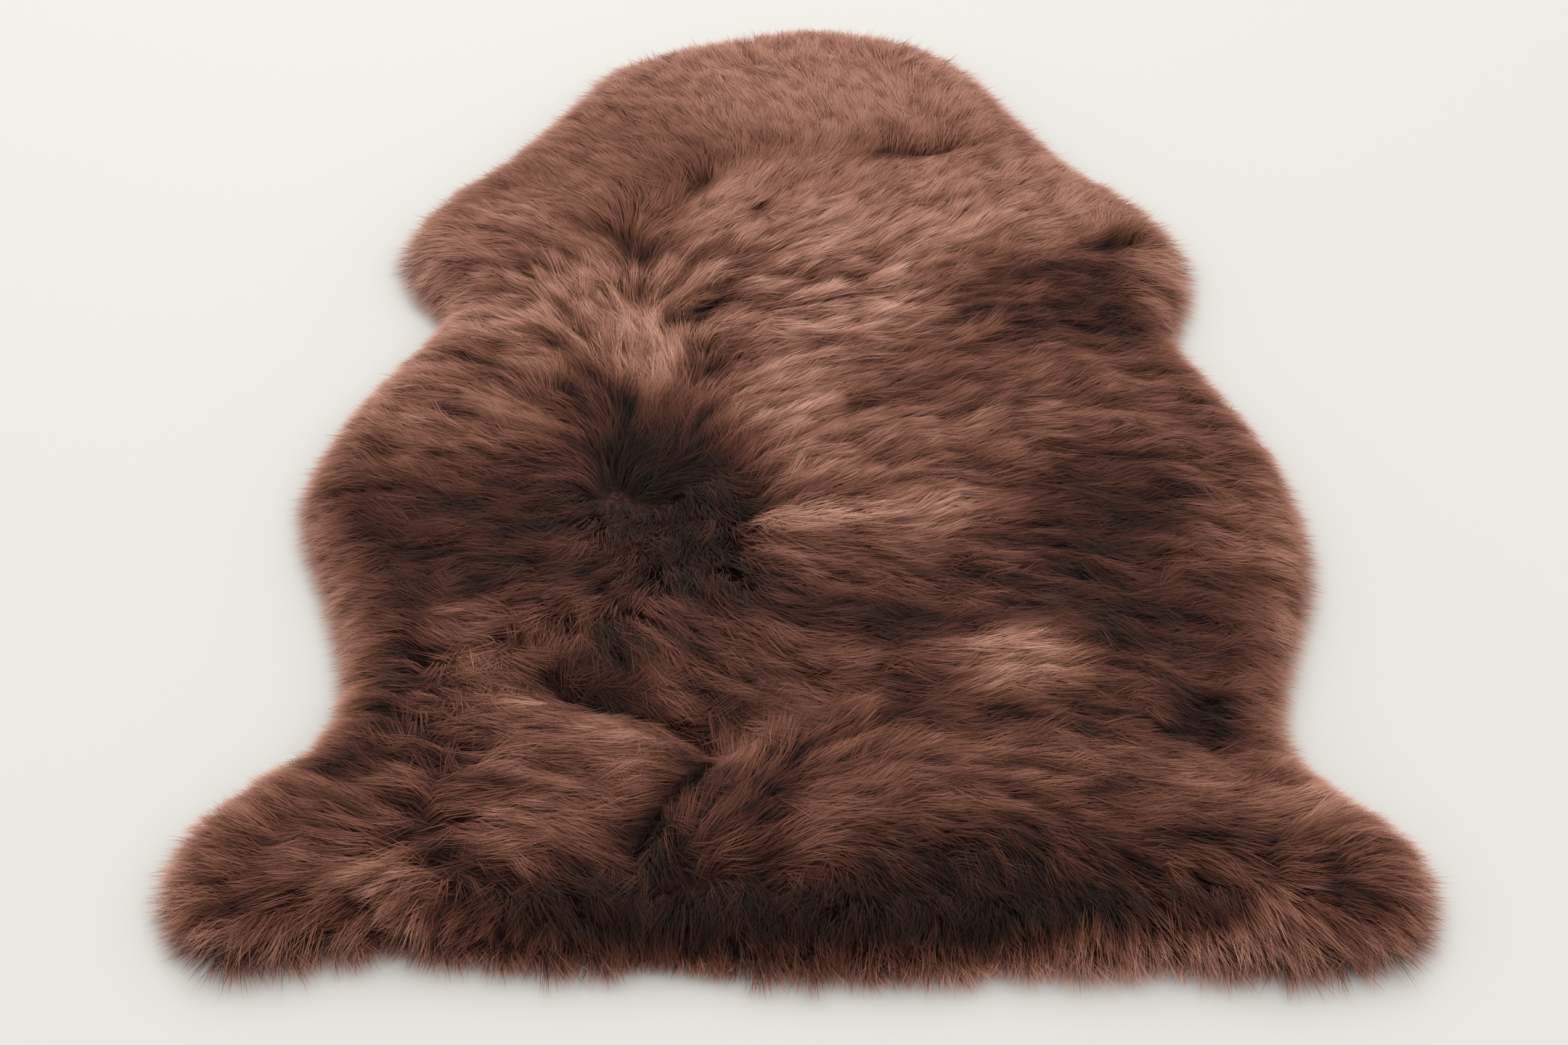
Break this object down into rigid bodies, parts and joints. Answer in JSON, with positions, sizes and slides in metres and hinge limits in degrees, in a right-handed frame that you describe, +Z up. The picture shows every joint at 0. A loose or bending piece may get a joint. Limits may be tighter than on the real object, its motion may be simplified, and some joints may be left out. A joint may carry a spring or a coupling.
{
  "type": "sheepskin rug",
  "caption": "Whole sheepskin rug with its own long brown wool, lying flat, wool side up, with a neck, forelegs, a waist and spread hind legs.",
  "frame": {"origin": "on the floor, under the centre of the skin's bounding box", "axes": "+Z up out of the wool, +Y towards the neck, +X to the right of a viewer who stands at the hind legs"},
  "size_m": [0.7032, 0.999, 0.0495],
  "materials": {
    "wool": "long combed wool dyed warm brown, soft sheen, dark at the roots",
    "hide_leather": "tanned flesh side, buffed suede, matt"
  },
  "bodies": {
    "root": {"sheepskin": "wool"}
  },
  "joints": []
}
